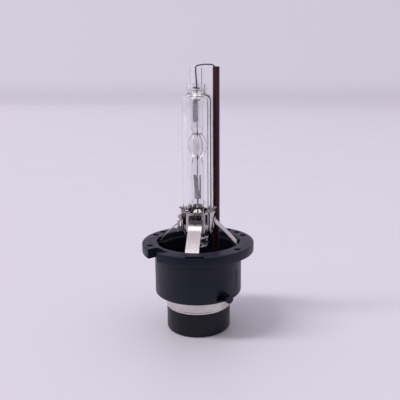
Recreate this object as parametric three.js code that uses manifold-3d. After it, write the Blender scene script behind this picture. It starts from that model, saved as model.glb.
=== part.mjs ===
// Xenon gas-discharge headlight bulb on a keyed plug-in base, as an assembly of its separate pieces.
// Millimetres, +Z up along the bulb's axis. The origin is the centre of the flat bottom of the connector cap.
// Azimuths are degrees about +Z from +X. The four cage legs stand near +X, +Y, -X and -Y.
import * as THREE from "three";
import { mergeVertices } from "three/addons/utils/BufferGeometryUtils.js";
import Module from "manifold-3d";

const wasm = await Module();
wasm.setup();

// ---- driving dimensions
const OVERALL_HEIGHT = 76.3; // cap bottom to the top of the return wire's hoop
const REFERENCE_Z = 26; // flange top: the plane that seats in the reflector
const LIGHT_CENTRE = 27.7; // middle of the arc gap above the reference plane
const ARC_GAP = 4.2; // between the electrode tips
const FLANGE_RADIUS = 16.2;
const FLANGE_THICKNESS = 2.7;
const BODY_RADIUS = 12.6;
const CAP_RADIUS = 9.35;
const BULB_RADIUS = 4.35; // outer, UV-absorbing glass tube
const CAGE_TURN = 2; // the cage of legs is clocked a little from the axes
const LEG_ANGLES = { front: CAGE_TURN - 90, right: CAGE_TURN, back: CAGE_TURN + 90, left: CAGE_TURN + 180 };

// ---- derived heights
const ARC_Z = REFERENCE_Z + LIGHT_CENTRE;
const FLANGE_BOTTOM = REFERENCE_Z - FLANGE_THICKNESS;
const BODY_BOTTOM = 11.1;
const CAP_TOP = 6.9; // shoulder where the connector cap steps in to its neck
const NECK_TOP = BODY_BOTTOM + 1.2;
const FLOOR_BOTTOM = BODY_BOTTOM + 1.9;
const FLOOR_TOP = FLOOR_BOTTOM + 1.5;

// ---- shared sizes
const GAP = 0.05; // between coaxial pieces that touch on the real bulb
const EDGE = 0.25; // moulded edge chamfer
const BIG_ROUND = 64; // sides of the moulded parts
const SMALL_ROUND = 32; // sides of the glass parts
const WIRE_ROUND = 8;

const CUP = { mouthRadius: 11.8, radius: 10.9, ledgeZ: REFERENCE_Z - 1.8 };
const COLUMN = { radius: 3.5, top: 18.5, bore: 0.5 };
const SOCKET = { radius: 4.6, ceiling: 9.5 };
const CONTACT_SPIGOT = 0.9;
const RING = { inner: 8.95, outer: 9.42, bead: 9.5, beadHeight: 0.45, seat: 9.62, top: 12.4 };

const TUBE = { radius: 1.87, bore: 1.2, bottom: 19.5, top: 74.9 }; // open ends of the quartz burner
const SEAL = { lowerStart: 31, upperEnd: 67.3 }; // solid quartz lies between these heights
const VESSEL = { radius: 2.7, halfHeight: 3.6, cavityRadius: 1.2, cavityHalfHeight: 2.9, neck: 1.15 };
const FOIL_THICKNESS = 0.12;
const UPPER_FOIL = { z: 60.35, length: 6.2, width: 1.1, turn: -22, aside: -0.3 };
const LOWER_FOIL = { z: 38.5, length: 6.95, width: 1.55, turn: -22, aside: 0.12 };
const ELECTRODE_RADIUS = 0.12;
const LEAD_RADIUS = 0.14;
const WELD_TAB = { z: 69.4, length: 2, width: 0.6, thickness: 0.4 };

const WIRE_RADIUS = 0.2;
const SHIELD = { azimuth: 40, offset: 6.24, radius: 0.97, bore: 0.4, bottom: FLOOR_BOTTOM + 0.1, top: 75.6 };

const COLLAR = { inner: BULB_RADIUS + 0.08, outer: BULB_RADIUS + 0.33, bottom: 29.9, top: 35.1 };
// Upright slots through the band beside the brackets: middle azimuth and width in degrees.
const BAND_SLOTS = [[-134, 26], [-49.5, 13], [38.5, 8], [128.5, 8]];
const SLOT_BOTTOM = 31.4;
const SLOT_TOP = 34.55;
const FINGER = { pairs: 8, firstPair: -79, slit: 0.26, thickness: 0.2 };
const SPREAD_FINGER = { width: 1.3, length: 1.35, lean: 50 };
const GRIPPING_FINGER = { width: 1.02, length: 1.3, lean: 0 }; // the first pair, pressed to the glass
const EYELET = { azimuth: 73, top: 37.1, stem: 0.3, radius: 0.4, hole: 0.16, lean: 12 };
const EAR = { azimuth: -135, thickness: 0.4 };
const PLATE = { inner: COLLAR.outer + 0.07, thickness: 0.3, bottom: 29.6, top: 34.95 };
const LEG = { width: 4, thickness: 0.22, bend: 44.5, toeRadius: 1, toe: 11.5, foot: 22.7 };
const LEG_OPENING = { width: 4.15, top: 34.55 }; // in the plate, open at its bottom
// The window goes through each leg's root, and through the band behind the front one.
const WINDOW = { width: 3.6, bottom: 33, top: 34.45 };
// The front and back brackets have narrow plates and a slow bend; the side ones are broader and bend sharply.
const SLOW_BRACKET = { halfAngle: 32.5, bendStart: 33.4, bendRadius: 4.6 };
const SHARP_BRACKET = { halfAngle: 39, bendStart: 33, bendRadius: 2.4 };
const BRACKETS = { front: SLOW_BRACKET, right: SHARP_BRACKET, back: SLOW_BRACKET, left: SHARP_BRACKET };
const LEG_SLOT = { width: 4.6, inner: 9.5, outer: 12.1, bottom: 22.2 };

const KEYWAY = { azimuth: -130, width: 4.3, floor: 13 };
const KEY_FLAT = { azimuth: -82.5, width: 4.9, depth: 0.5, reach: 1.1 };
const DIMPLE = { radius: 0.95, depth: 0.5, circle: 14.3, azimuths: [-150, -120, -30, 30, 45, 60, 150, 165] };
const LUG = { azimuths: [-45, 135], radius: 1.15, reach: 15.5, z: 12.8 };

// ---- materials
const metal = (color, roughness) => new THREE.MeshStandardMaterial({ color, roughness, metalness: 1 });
const plain = (color, roughness) => new THREE.MeshStandardMaterial({ color, roughness, metalness: 0 });
const glass = (color) =>
  new THREE.MeshStandardMaterial({ color, roughness: 0.05, metalness: 0, transparent: true, opacity: 0.3 });
const BLACK_PLASTIC = plain(0x24242c, 0.5);
const CAP_PLASTIC = plain(0x202027, 0.55);
const PLATED_METAL = metal(0xcdc6c6, 0.35);
const SPRING_STEEL = metal(0xd2c9cb, 0.28);
const CLEAR_QUARTZ = glass(0xf2f3f7);
const UV_QUARTZ = glass(0xe6e8f0);
const TUNGSTEN = metal(0x55555c, 0.45);
const MOLYBDENUM = metal(0x77777f, 0.4);
const NICKEL = metal(0x6d6a72, 0.35);
const BROWN_CERAMIC = plain(0x2b1c1f, 0.6);
const HALIDE_SALT = plain(0xe8c9b8, 0.7);

// ---- helpers
const radians = THREE.MathUtils.degToRad;

// A solid of revolution about Z from [radius, height] points, listed up the outside and down the inside.
function turned(points, sides) {
  const outline = points.map(([r, z]) => new THREE.Vector2(r, z));
  const first = outline[0];
  const closesOnAxis = first.x === 0 && outline.at(-1).x === 0;
  if (!closesOnAxis) outline.push(first.clone());
  return new THREE.LatheGeometry(outline, sides).rotateX(Math.PI / 2);
}

// A round bar along Z between two heights.
function bar(radius, from, to, sides) {
  const rod = new THREE.CylinderGeometry(radius, radius, to - from, sides).rotateX(Math.PI / 2);
  return rod.translate(0, 0, (from + to) / 2);
}

// A box between two corners.
function block([x0, y0, z0], [x1, y1, z1]) {
  const box = new THREE.BoxGeometry(x1 - x0, y1 - y0, z1 - z0);
  return box.translate((x0 + x1) / 2, (y0 + y1) / 2, (z0 + z1) / 2);
}

// An outline drawn in (radius, height), given a width across the radial direction of azimuth 0.
function radialPlate(shape, width, curveSegments = 8) {
  const plate = new THREE.ExtrudeGeometry(shape, { depth: width, bevelEnabled: false, curveSegments });
  return plate.translate(0, 0, -width / 2).rotateX(Math.PI / 2);
}

function atAzimuth(geometry, degrees) {
  return geometry.rotateZ(radians(degrees));
}

function solidOf(geometry) {
  const bare = geometry.clone();
  bare.deleteAttribute("normal");
  bare.deleteAttribute("uv");
  const merged = mergeVertices(bare, 1e-4);
  const vertProperties = merged.attributes.position.array;
  const triVerts = new Uint32Array(merged.index.array);
  return new wasm.Manifold(new wasm.Mesh({ numProp: 3, vertProperties, triVerts }));
}

function geometryOf(solid) {
  const { numProp, vertProperties, triVerts } = solid.getMesh();
  const positions = new Float32Array((vertProperties.length / numProp) * 3);
  for (let i = 0; i < positions.length / 3; i++) {
    positions.set(vertProperties.subarray(i * numProp, i * numProp + 3), i * 3);
  }
  const geometry = new THREE.BufferGeometry();
  geometry.setAttribute("position", new THREE.BufferAttribute(positions, 3));
  geometry.setIndex(new THREE.BufferAttribute(triVerts, 1));
  geometry.computeVertexNormals();
  return geometry;
}

const joined = (...pieces) => pieces.map(solidOf).reduce((sum, piece) => sum.add(piece));
const cut = (solid, ...tools) => tools.map(solidOf).reduce((left, tool) => left.subtract(tool), solid);

const bulb = new THREE.Group();
function addPiece(name, geometry, material, parent = bulb) {
  const mesh = new THREE.Mesh(geometry, material);
  mesh.name = name;
  parent.add(mesh);
  return mesh;
}

// ---- base housing: cup, flange, keyway and lugs
function housingBody() {
  return turned(
    [
      [RING.seat, BODY_BOTTOM],
      [BODY_RADIUS - EDGE, BODY_BOTTOM],
      [BODY_RADIUS, BODY_BOTTOM + EDGE],
      [BODY_RADIUS, FLANGE_BOTTOM],
      [FLANGE_RADIUS - EDGE, FLANGE_BOTTOM],
      [FLANGE_RADIUS, FLANGE_BOTTOM + EDGE],
      [FLANGE_RADIUS, REFERENCE_Z - EDGE],
      [FLANGE_RADIUS - EDGE, REFERENCE_Z],
      [CUP.mouthRadius + EDGE, REFERENCE_Z],
      [CUP.mouthRadius, REFERENCE_Z - EDGE],
      [CUP.mouthRadius, CUP.ledgeZ],
      [CUP.radius, CUP.ledgeZ],
      [CUP.radius, FLOOR_TOP],
      [COLUMN.radius + GAP, FLOOR_TOP],
      [COLUMN.radius + GAP, FLOOR_BOTTOM],
      [RING.seat, FLOOR_BOTTOM],
    ],
    BIG_ROUND,
  );
}

// A bayonet lug: a round pin that stands out of the body's wall.
function lockingLug(azimuth) {
  const root = BODY_RADIUS - 0.6;
  const pin = new THREE.CylinderGeometry(LUG.radius, LUG.radius, LUG.reach - root, 20).rotateZ(Math.PI / 2);
  return atAzimuth(pin.translate((root + LUG.reach) / 2, 0, LUG.z), azimuth);
}

function keywayTool() {
  const half = KEYWAY.width / 2;
  const slot = block([KEYWAY.floor, -half, FLANGE_BOTTOM - 0.01], [FLANGE_RADIUS + 1, half, REFERENCE_Z + 1]);
  return atAzimuth(slot, KEYWAY.azimuth);
}

// The shallow step at the flange's top edge.
function keyFlatTool() {
  const half = KEY_FLAT.width / 2;
  const from = FLANGE_RADIUS - KEY_FLAT.reach;
  const step = block([from, -half, REFERENCE_Z - KEY_FLAT.depth], [FLANGE_RADIUS + 1, half, REFERENCE_Z + 1]);
  return atAzimuth(step, KEY_FLAT.azimuth);
}

function dimpleTool(azimuth) {
  const pocket = bar(DIMPLE.radius, REFERENCE_Z - DIMPLE.depth, REFERENCE_Z + 1, 16);
  return atAzimuth(pocket.translate(DIMPLE.circle, 0, 0), azimuth);
}

function legSlotTool(azimuth) {
  const half = LEG_SLOT.width / 2;
  const slot = block([LEG_SLOT.inner, -half, LEG_SLOT.bottom], [LEG_SLOT.outer, half, REFERENCE_Z + 1]);
  return atAzimuth(slot, azimuth);
}

function shieldHoleTool() {
  const hole = bar(SHIELD.radius + 0.1, FLOOR_BOTTOM - 1, FLOOR_TOP + 1, 16);
  return atAzimuth(hole.translate(SHIELD.offset, 0, 0), SHIELD.azimuth);
}

function baseHousing() {
  const body = joined(housingBody(), ...LUG.azimuths.map(lockingLug));
  const tools = [keywayTool(), keyFlatTool(), shieldHoleTool()];
  tools.push(...DIMPLE.azimuths.map(dimpleTool), ...Object.values(LEG_ANGLES).map(legSlotTool));
  return geometryOf(cut(body, ...tools));
}
addPiece("base_housing", baseHousing(), BLACK_PLASTIC);

// ---- connector end: cap, ring and centre contact
const CONNECTOR_CAP = turned(
  [
    [SOCKET.radius, EDGE],
    [SOCKET.radius + EDGE, 0],
    [CAP_RADIUS - EDGE, 0],
    [CAP_RADIUS, EDGE],
    [CAP_RADIUS, CAP_TOP],
    [RING.inner - GAP, CAP_TOP],
    [RING.inner - GAP, NECK_TOP],
    [COLUMN.radius, NECK_TOP],
    [COLUMN.radius, COLUMN.top],
    [COLUMN.bore, COLUMN.top],
    [COLUMN.bore, NECK_TOP + 0.3],
    [CONTACT_SPIGOT + GAP, NECK_TOP + 0.3],
    [CONTACT_SPIGOT + GAP, SOCKET.ceiling],
    [SOCKET.radius, SOCKET.ceiling],
  ],
  BIG_ROUND,
);
addPiece("connector_cap", CONNECTOR_CAP, CAP_PLASTIC);

const CONTACT_RING = turned(
  [
    [RING.inner, CAP_TOP + GAP],
    [RING.bead, CAP_TOP + GAP],
    [RING.bead, CAP_TOP + RING.beadHeight],
    [RING.outer, CAP_TOP + RING.beadHeight + 0.1],
    [RING.outer, RING.top],
    [RING.inner, RING.top],
  ],
  BIG_ROUND,
);
addPiece("contact_ring", CONTACT_RING, PLATED_METAL);

// A button at the top of the socket, with a spigot that the high-voltage lead is welded to.
const BUTTON = { radius: 2.6, thickness: 0.45, nose: 1.3, noseDrop: 0.5 };
const BUTTON_TOP = SOCKET.ceiling - GAP;
const BUTTON_BOTTOM = BUTTON_TOP - BUTTON.thickness;
const CENTRE_CONTACT = turned(
  [
    [0, BUTTON_BOTTOM - BUTTON.noseDrop / 2],
    [BUTTON.nose / 2, BUTTON_BOTTOM - BUTTON.noseDrop],
    [BUTTON.nose, BUTTON_BOTTOM - BUTTON.noseDrop],
    [BUTTON.nose, BUTTON_BOTTOM],
    [BUTTON.radius, BUTTON_BOTTOM],
    [BUTTON.radius, BUTTON_TOP],
    [CONTACT_SPIGOT, BUTTON_TOP],
    [CONTACT_SPIGOT, NECK_TOP],
    [0, NECK_TOP],
  ],
  SMALL_ROUND,
);
addPiece("centre_contact", CENTRE_CONTACT, PLATED_METAL);

// ---- return path: strap, wire and ceramic shield
const shieldGroup = new THREE.Group();
shieldGroup.rotation.z = radians(SHIELD.azimuth);
bulb.add(shieldGroup);

const STRAP = { from: SHIELD.offset - 0.9, to: 9.35, halfWidth: 0.8 };
const STRAP_BOTTOM = RING.top + GAP;
const STRAP_TOP = FLOOR_BOTTOM - 0.15;
const RETURN_STRAP = block(
  [STRAP.from, -STRAP.halfWidth, STRAP_BOTTOM],
  [STRAP.to, STRAP.halfWidth, STRAP_TOP],
);
addPiece("return_strap", RETURN_STRAP, PLATED_METAL, shieldGroup);

const CERAMIC_SHIELD = turned(
  [
    [SHIELD.bore, SHIELD.bottom],
    [SHIELD.radius, SHIELD.bottom],
    [SHIELD.radius, SHIELD.top],
    [SHIELD.bore, SHIELD.top],
  ],
  20,
);
addPiece("ceramic_shield", CERAMIC_SHIELD, BROWN_CERAMIC, shieldGroup).position.x = SHIELD.offset;

// The wire comes up through the shield, hoops over to the axis and ends on the weld tab.
function returnWire() {
  const peak = OVERALL_HEIGHT - WIRE_RADIUS;
  const bendStart = SHIELD.top - 0.3;
  const shieldReach = SHIELD.offset - 1.4; // where the bend over the shield ends
  const axisReach = 1.3; // where the bend down the axis starts
  const sag = 0.15;
  const tabTop = WELD_TAB.z + WELD_TAB.thickness + GAP;
  const point = (r, z) => new THREE.Vector3(r, 0, z);
  const line = (from, to) => new THREE.LineCurve3(from, to);
  const bend = (from, corner, to) => new THREE.QuadraticBezierCurve3(from, corner, to);
  const overShield = point(shieldReach, peak);
  const overAxis = point(axisReach, peak - sag);
  const onAxis = point(0, peak - 1.5);
  const hoop = new THREE.CurvePath();
  hoop.add(line(point(SHIELD.offset, bendStart - 1), point(SHIELD.offset, bendStart)));
  hoop.add(bend(point(SHIELD.offset, bendStart), point(SHIELD.offset, peak), overShield));
  hoop.add(line(overShield, overAxis));
  hoop.add(bend(overAxis, point(0, peak - sag - 0.1), onAxis));
  hoop.add(line(onAxis, point(0, tabTop)));
  const section = new THREE.Shape().absarc(0, 0, WIRE_RADIUS, 0, Math.PI * 2);
  const options = { steps: 36, curveSegments: WIRE_ROUND / 2, extrudePath: hoop, bevelEnabled: false };
  const bent = new THREE.ExtrudeGeometry(section, options);
  const straight = bar(WIRE_RADIUS, STRAP_TOP + GAP, bendStart - 0.5, WIRE_ROUND);
  return geometryOf(joined(bent, straight.translate(SHIELD.offset, 0, 0)));
}
addPiece("return_wire", returnWire(), NICKEL, shieldGroup);

// ---- quartz burner and what is sealed in it
const UPPER_TIP = ARC_Z + ARC_GAP / 2;
const LOWER_TIP = ARC_Z - ARC_GAP / 2;
const UPPER_FOIL_TOP = UPPER_FOIL.z + UPPER_FOIL.length;
const LOWER_FOIL_TOP = LOWER_FOIL.z + LOWER_FOIL.length;

// Half of an ellipse as [radius, height] points from its bottom pole to its top pole, without the poles.
function ellipsePoints(radius, halfHeight, neck, count) {
  const start = Math.asin(neck / radius);
  return Array.from({ length: count + 1 }, (_, i) => {
    const angle = start + ((Math.PI - 2 * start) * i) / count;
    return [radius * Math.sin(angle), ARC_Z - halfHeight * Math.cos(angle)];
  });
}

// A strip with feathered edges, swollen by the margin where it is the pocket for the foil.
function foilGeometry(foil, margin) {
  const halfWidth = foil.width / 2 + margin;
  const halfThick = FOIL_THICKNESS / 2 + margin;
  const lens = new THREE.Shape();
  lens.moveTo(halfWidth, 0);
  lens.lineTo(halfWidth / 2, halfThick);
  lens.lineTo(-halfWidth / 2, halfThick);
  lens.lineTo(-halfWidth, 0);
  lens.lineTo(-halfWidth / 2, -halfThick);
  lens.lineTo(halfWidth / 2, -halfThick);
  const strip = new THREE.ExtrudeGeometry(lens, { depth: foil.length + 2 * margin, bevelEnabled: false });
  return atAzimuth(strip.translate(foil.aside, 0, foil.z - margin), foil.turn);
}

// The room inside the burner: discharge cavity, electrode and lead channels, foil pockets and open tube ends.
function burnerCore() {
  const cavity = turned(
    [
      [0, ARC_Z - VESSEL.cavityHalfHeight],
      ...ellipsePoints(VESSEL.cavityRadius, VESSEL.cavityHalfHeight, 0.3, 10),
      [0, ARC_Z + VESSEL.cavityHalfHeight],
    ],
    SMALL_ROUND / 2,
  );
  const electrodeRoom = bar(ELECTRODE_RADIUS + GAP, LOWER_FOIL_TOP, UPPER_FOIL.z, WIRE_ROUND);
  const lowerLeadRoom = bar(LEAD_RADIUS + GAP, SEAL.lowerStart - 1, LOWER_FOIL.z, WIRE_ROUND);
  const upperLeadRoom = bar(LEAD_RADIUS + GAP, UPPER_FOIL_TOP, SEAL.upperEnd + 1, WIRE_ROUND);
  const lowerTube = bar(TUBE.bore, TUBE.bottom - 1, SEAL.lowerStart, 20);
  const upperTube = bar(TUBE.bore, SEAL.upperEnd, TUBE.top + 1, 20);
  const foils = [foilGeometry(UPPER_FOIL, 2 * GAP), foilGeometry(LOWER_FOIL, 2 * GAP)];
  return joined(cavity, electrodeRoom, lowerLeadRoom, upperLeadRoom, lowerTube, upperTube, ...foils);
}

function burner() {
  const sealRadius = TUBE.radius - 0.12;
  const shoulder = VESSEL.halfHeight + 0.9;
  const quartz = turned(
    [
      [0, TUBE.bottom],
      [TUBE.radius, TUBE.bottom],
      [TUBE.radius, SEAL.lowerStart],
      [sealRadius, SEAL.lowerStart + 1.5],
      [sealRadius, ARC_Z - shoulder - 0.8],
      [VESSEL.neck + 0.3, ARC_Z - shoulder],
      ...ellipsePoints(VESSEL.radius, VESSEL.halfHeight, VESSEL.neck, 12),
      [VESSEL.neck + 0.3, ARC_Z + shoulder],
      [sealRadius, ARC_Z + shoulder + 0.8],
      [sealRadius, SEAL.upperEnd - 1.5],
      [TUBE.radius, SEAL.upperEnd],
      [TUBE.radius, TUBE.top],
      [0, TUBE.top],
    ],
    SMALL_ROUND,
  );
  return geometryOf(solidOf(quartz).subtract(burnerCore()));
}
addPiece("quartz_burner", burner(), CLEAR_QUARTZ);

addPiece("upper_electrode", bar(ELECTRODE_RADIUS, UPPER_TIP, UPPER_FOIL.z - GAP, WIRE_ROUND), TUNGSTEN);
addPiece("lower_electrode", bar(ELECTRODE_RADIUS, LOWER_FOIL_TOP + GAP, LOWER_TIP, WIRE_ROUND), TUNGSTEN);
addPiece("upper_foil", foilGeometry(UPPER_FOIL, 0), MOLYBDENUM);
addPiece("lower_foil", foilGeometry(LOWER_FOIL, 0), MOLYBDENUM);
addPiece("upper_lead", bar(LEAD_RADIUS, UPPER_FOIL_TOP + GAP, WELD_TAB.z - GAP, WIRE_ROUND), NICKEL);
addPiece("high_voltage_lead", bar(LEAD_RADIUS, NECK_TOP + GAP, LOWER_FOIL.z - GAP, WIRE_ROUND), NICKEL);

const TAB_STRIP = block(
  [-WELD_TAB.length / 2, -WELD_TAB.width / 2, WELD_TAB.z],
  [WELD_TAB.length / 2, WELD_TAB.width / 2, WELD_TAB.z + WELD_TAB.thickness],
);
addPiece("weld_tab", TAB_STRIP, NICKEL);

// The metal-halide salt, a small ring that has settled round the lower electrode.
const SALT = { inner: 0.25, outer: 0.55, bottom: ARC_Z - VESSEL.cavityHalfHeight + 0.5, height: 0.35 };
const HALIDE_CHARGE = turned(
  [
    [SALT.inner, SALT.bottom],
    [SALT.outer, SALT.bottom],
    [SALT.outer + 0.1, SALT.bottom + SALT.height],
    [SALT.inner, SALT.bottom + SALT.height],
  ],
  12,
);
addPiece("halide_charge", HALIDE_CHARGE, HALIDE_SALT);

// ---- outer bulb: domed tube with a stub at each end
function outerBulb() {
  const wall = 1.2;
  const inner = BULB_RADIUS - wall;
  const throat = TUBE.radius + GAP;
  const top = { dome: 66.4, neck: 68.6, stub: 69.2, end: 70.75, neckRadius: 2.35, stubRadius: 2.8 };
  const low = { dome: 29.3, neck: 26.9, stub: 26.2, end: 24.6, neckRadius: 2.5, stubRadius: 2.9 };
  // A quarter of an ellipse from the tube's wall (angle 0) to the neck.
  const dome = (radius, neckRadius, from, to, count) =>
    Array.from({ length: count + 1 }, (_, i) => {
      const angle = (Math.PI / 2) * (i / count);
      return [neckRadius + (radius - neckRadius) * Math.cos(angle), from + (to - from) * Math.sin(angle)];
    });
  return turned(
    [
      [throat, low.end],
      [low.stubRadius, low.end],
      [low.stubRadius, low.stub],
      [low.neckRadius, low.stub + 0.3],
      ...dome(BULB_RADIUS, low.neckRadius, low.dome, low.neck, 5).reverse(),
      ...dome(BULB_RADIUS, top.neckRadius, top.dome, top.neck - 0.3, 5),
      [top.neckRadius, top.stub - 0.2],
      [top.stubRadius, top.stub],
      [top.stubRadius, top.end],
      [throat, top.end],
      [throat, top.neck - 0.3 - wall],
      ...dome(inner, throat + 0.2, top.dome, top.neck - 0.5 - wall, 4).reverse(),
      ...dome(inner, throat + 0.2, low.dome, low.neck + 0.2 + wall, 4),
      [throat, low.neck + wall],
    ],
    SMALL_ROUND,
  );
}
addPiece("outer_bulb", outerBulb(), UV_QUARTZ);

// ---- clamp collar: band, crown of fingers and seam ear
// The pair of fingers that would foul the ceramic shield is left off.
const ALL_PAIRS = Array.from({ length: FINGER.pairs }, (_, i) => FINGER.firstPair + (360 / FINGER.pairs) * i);
const PAIR_ANGLES = ALL_PAIRS.filter((angle) => Math.abs(angle - SHIELD.azimuth) > 20);

const FINGER_ROOT = 0.4; // how far the fingers and the eyelet's stalk reach down into the band

// Stands a flat outline, drawn in (across, up), on the band's top edge and leans it outwards.
function leaningLeaf(outline, lean, azimuth) {
  const options = { depth: FINGER.thickness, bevelEnabled: false, curveSegments: 6 };
  const leaf = new THREE.ExtrudeGeometry(outline, options);
  leaf.rotateX(Math.PI / 2).rotateZ(Math.PI / 2).rotateY(radians(lean));
  return atAzimuth(leaf.translate(COLLAR.outer - FINGER.thickness, 0, COLLAR.top), azimuth);
}

// One finger of a pair: straight beside the slit and fully rounded on its far side.
function finger(side, azimuth) {
  const { width, length, lean } = azimuth === FINGER.firstPair ? GRIPPING_FINGER : SPREAD_FINGER;
  const inner = (side * FINGER.slit) / 2;
  const outer = inner + side * width;
  const shoulder = length - width;
  const outline = new THREE.Shape();
  outline.moveTo(inner, -FINGER_ROOT);
  outline.lineTo(outer, -FINGER_ROOT);
  outline.lineTo(outer, shoulder);
  const [from, to] = side > 0 ? [0, Math.PI / 2] : [Math.PI, Math.PI / 2];
  outline.absarc(inner, shoulder, width, from, to, side < 0);
  return leaningLeaf(outline, lean, azimuth);
}

// A slim stalk with an eyelet at its tip.
function eyeletStalk() {
  const half = EYELET.stem / 2;
  const centre = EYELET.top - EYELET.radius - COLLAR.top;
  const neck = Math.acos(half / EYELET.radius);
  const outline = new THREE.Shape();
  outline.moveTo(-half, -FINGER_ROOT);
  outline.lineTo(half, -FINGER_ROOT);
  outline.absarc(0, centre, EYELET.radius, -neck, Math.PI + neck);
  outline.holes.push(new THREE.Path().absarc(0, centre, EYELET.hole, 0, Math.PI * 2));
  return leaningLeaf(outline, EYELET.lean, EYELET.azimuth);
}

// The band's two ends, folded out and crimped: a lobe, a waist, a straight run, and an arched cap on a stem.
function seamEar() {
  const root = COLLAR.inner + 0.1;
  const outline = new THREE.Shape();
  outline.moveTo(root, 33.2);
  outline.lineTo(5.4, 33.1);
  outline.lineTo(6.3, 32.6);
  outline.lineTo(6.3, 31.3);
  outline.lineTo(5.4, 30.9);
  outline.lineTo(5.5, 30.5);
  outline.lineTo(6.4, 30.7);
  outline.lineTo(6.4, 29.5);
  outline.lineTo(6.9, 29.5);
  outline.lineTo(6.9, 30.7);
  outline.lineTo(7.35, 30.5);
  outline.lineTo(7.35, 30.9);
  outline.lineTo(6.95, 31.4);
  outline.lineTo(6.9, 32.8);
  outline.lineTo(6, 33.2);
  outline.absarc(6.15, 34.1, 0.6, -Math.PI / 2, Math.PI / 2);
  outline.lineTo(root, 34.95);
  return atAzimuth(radialPlate(outline, EAR.thickness, 5), EAR.azimuth);
}

function bandSlotTool([azimuth, angle]) {
  const half = COLLAR.outer * radians(angle / 2);
  const slot = block([COLLAR.inner - 1, -half, SLOT_BOTTOM], [COLLAR.outer + 1, half, SLOT_TOP]);
  return atAzimuth(slot, azimuth);
}

// A window at azimuth 0, through whatever lies from that radius outwards.
function windowTool(from) {
  const half = WINDOW.width / 2;
  return block([from, -half, WINDOW.bottom], [PLATE.inner + 2, half, WINDOW.top]);
}

function clampCollar() {
  const band = turned(
    [
      [COLLAR.inner, COLLAR.bottom],
      [COLLAR.outer, COLLAR.bottom],
      [COLLAR.outer, COLLAR.top],
      [COLLAR.inner, COLLAR.top],
    ],
    SMALL_ROUND,
  );
  const window = atAzimuth(windowTool(COLLAR.inner - 1), LEG_ANGLES.front);
  const slotted = cut(solidOf(band), window, ...BAND_SLOTS.map(bandSlotTool));
  const sleeveRoom = bar(COLLAR.inner, COLLAR.bottom - 1, COLLAR.top + 4, SMALL_ROUND);
  const fingers = PAIR_ANGLES.flatMap((azimuth) => [finger(1, azimuth), finger(-1, azimuth)]);
  const whole = slotted.add(joined(seamEar(), eyeletStalk(), ...fingers));
  return geometryOf(cut(whole, sleeveRoom));
}
addPiece("clamp_collar", clampCollar(), SPRING_STEEL);

// ---- four leg brackets, each a plate with a bent leg
// The leg's side view: down the plate's opening, out in an arc, straight, and down into the housing's slot.
function legOutline({ bendStart, bendRadius }) {
  const bend = radians(LEG.bend);
  const half = LEG.thickness / 2;
  const middle = PLATE.inner + half;
  const top = LEG_OPENING.top + 0.15;
  const slopeStart = middle + bendRadius * (1 - Math.cos(bend));
  const slopeLength = (LEG.toe - slopeStart - LEG.toeRadius * (1 - Math.cos(bend))) / Math.sin(bend);
  const toeCentreR = LEG.toe - LEG.toeRadius;
  const drop = bendRadius * Math.sin(bend) + slopeLength * Math.cos(bend) + LEG.toeRadius * Math.sin(bend);
  const toeCentreZ = bendStart - drop;
  const bendCentreR = middle + bendRadius;
  const outline = new THREE.Shape();
  outline.moveTo(middle + half, top);
  outline.absarc(bendCentreR, bendStart, bendRadius - half, Math.PI, Math.PI + bend);
  outline.absarc(toeCentreR, toeCentreZ, LEG.toeRadius + half, bend, 0, true);
  outline.lineTo(LEG.toe + half, LEG.foot);
  outline.lineTo(LEG.toe - half, LEG.foot);
  outline.absarc(toeCentreR, toeCentreZ, LEG.toeRadius - half, 0, bend);
  outline.absarc(bendCentreR, bendStart, bendRadius + half, Math.PI + bend, Math.PI, true);
  outline.lineTo(middle - half, top);
  return outline;
}

// The plate: a part of a round band, open at its bottom where the leg leaves it.
function bracketPlate(halfAngle) {
  const outer = PLATE.inner + PLATE.thickness;
  const band = turned(
    [
      [PLATE.inner, PLATE.bottom],
      [outer, PLATE.bottom],
      [outer, PLATE.top],
      [PLATE.inner, PLATE.top],
    ],
    BIG_ROUND,
  );
  const reach = outer + 4;
  const spread = reach * Math.tan(radians(halfAngle));
  const corners = [[0, 0], [reach, -spread], [reach, spread]].map(([x, y]) => new THREE.Vector2(x, y));
  const height = PLATE.top - PLATE.bottom + 2;
  const wedge = new THREE.ExtrudeGeometry(new THREE.Shape(corners), { depth: height, bevelEnabled: false });
  const sector = solidOf(wedge.translate(0, 0, PLATE.bottom - 1));
  const halfOpening = LEG_OPENING.width / 2;
  const opening = block([0, -halfOpening, PLATE.bottom - 1], [reach, halfOpening, LEG_OPENING.top]);
  return cut(solidOf(band).intersect(sector), opening);
}

function legBracket(kind) {
  const leg = solidOf(radialPlate(legOutline(kind), LEG.width, 10));
  return geometryOf(cut(bracketPlate(kind.halfAngle).add(leg), windowTool(0)));
}

for (const [side, azimuth] of Object.entries(LEG_ANGLES)) {
  addPiece(`leg_bracket_${side}`, legBracket(BRACKETS[side]), SPRING_STEEL).rotation.z = radians(azimuth);
}

export default bulb;
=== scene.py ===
"""Gas-discharge headlight bulb: smooth meshes, materials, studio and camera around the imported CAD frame.

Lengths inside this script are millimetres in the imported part's frame, and MM turns them into metres.
Azimuths are degrees about +Z from +X.
"""

import math
import random

import bmesh
import bpy
from mathutils import Matrix, Vector


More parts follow.
